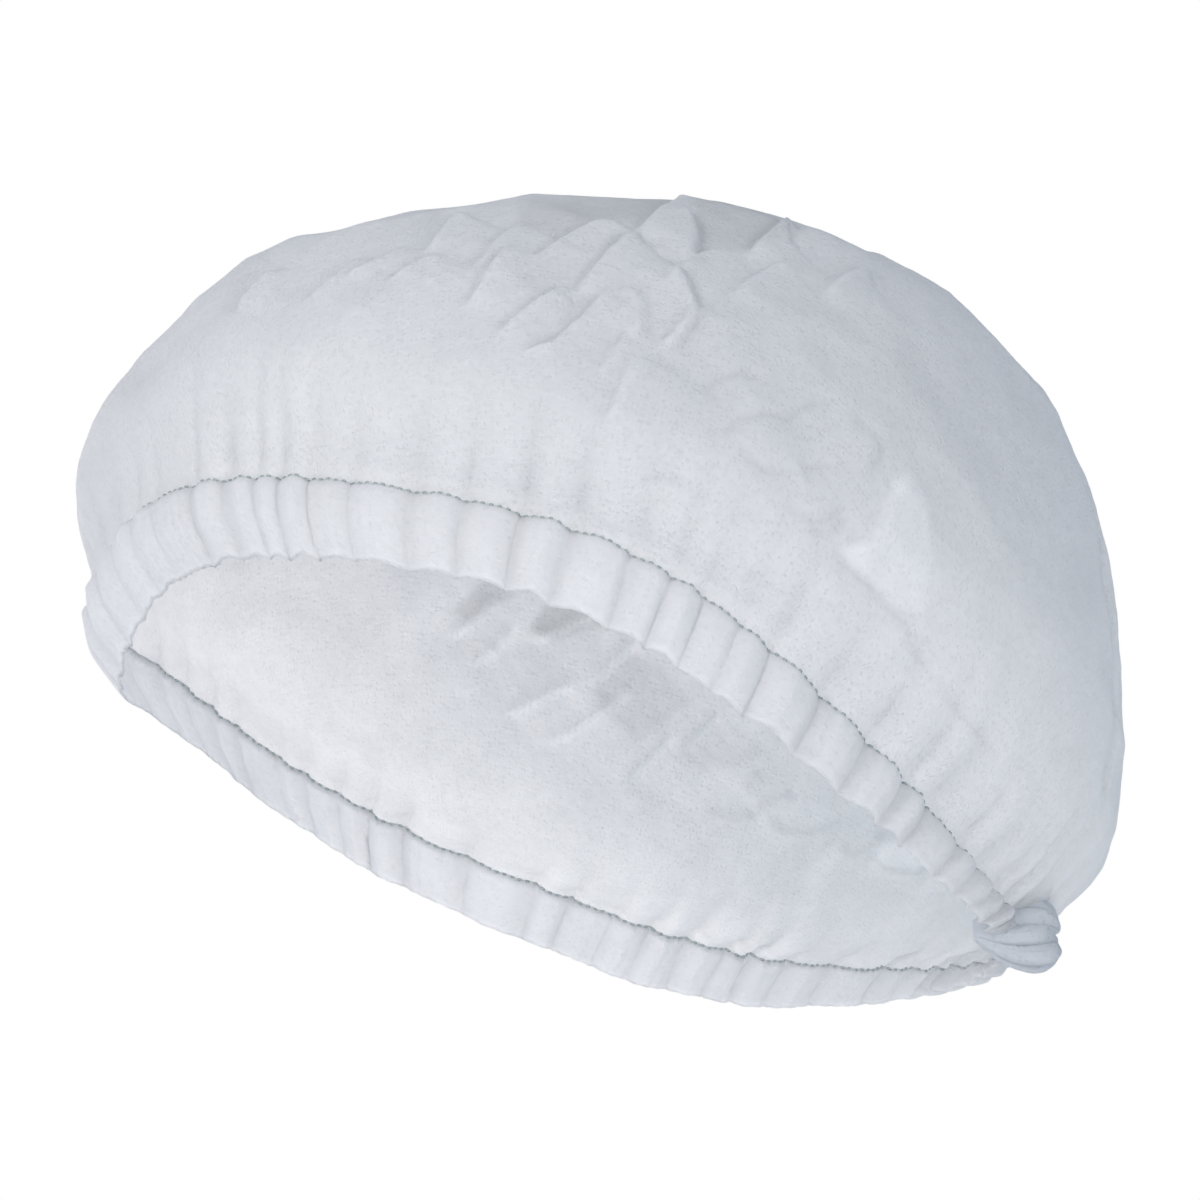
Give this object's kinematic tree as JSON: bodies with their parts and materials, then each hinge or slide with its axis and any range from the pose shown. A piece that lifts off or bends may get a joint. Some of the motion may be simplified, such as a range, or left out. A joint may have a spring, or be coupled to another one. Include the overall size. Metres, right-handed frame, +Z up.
{
  "type": "disposable hair cover cap",
  "caption": "Puffed cap of thin pleated nonwoven cloth with a ruffled stitched hem and a gathered knot at the back.",
  "frame": {"origin": "centre of the head opening, midway between the hem's front and back ends, where the head sits in", "axes": "+X from the forehead to the back of the head, -Y the wearer's left, +Z up as worn; the opening's plane is tilted 18 degrees about Y, front up"},
  "size_m": [0.2422, 0.1937, 0.1982],
  "materials": {
    "crown_cloth": "thin white spunbond nonwoven, matt, slightly see-through",
    "hem_cloth": "folded white spunbond nonwoven hem, matt",
    "knot_cloth": "gathered and welded white spunbond nonwoven, matt"
  },
  "bodies": {
    "root": {"crown": "crown_cloth", "left_band": "hem_cloth", "right_band": "hem_cloth", "rear_knot": "knot_cloth"}
  },
  "joints": []
}
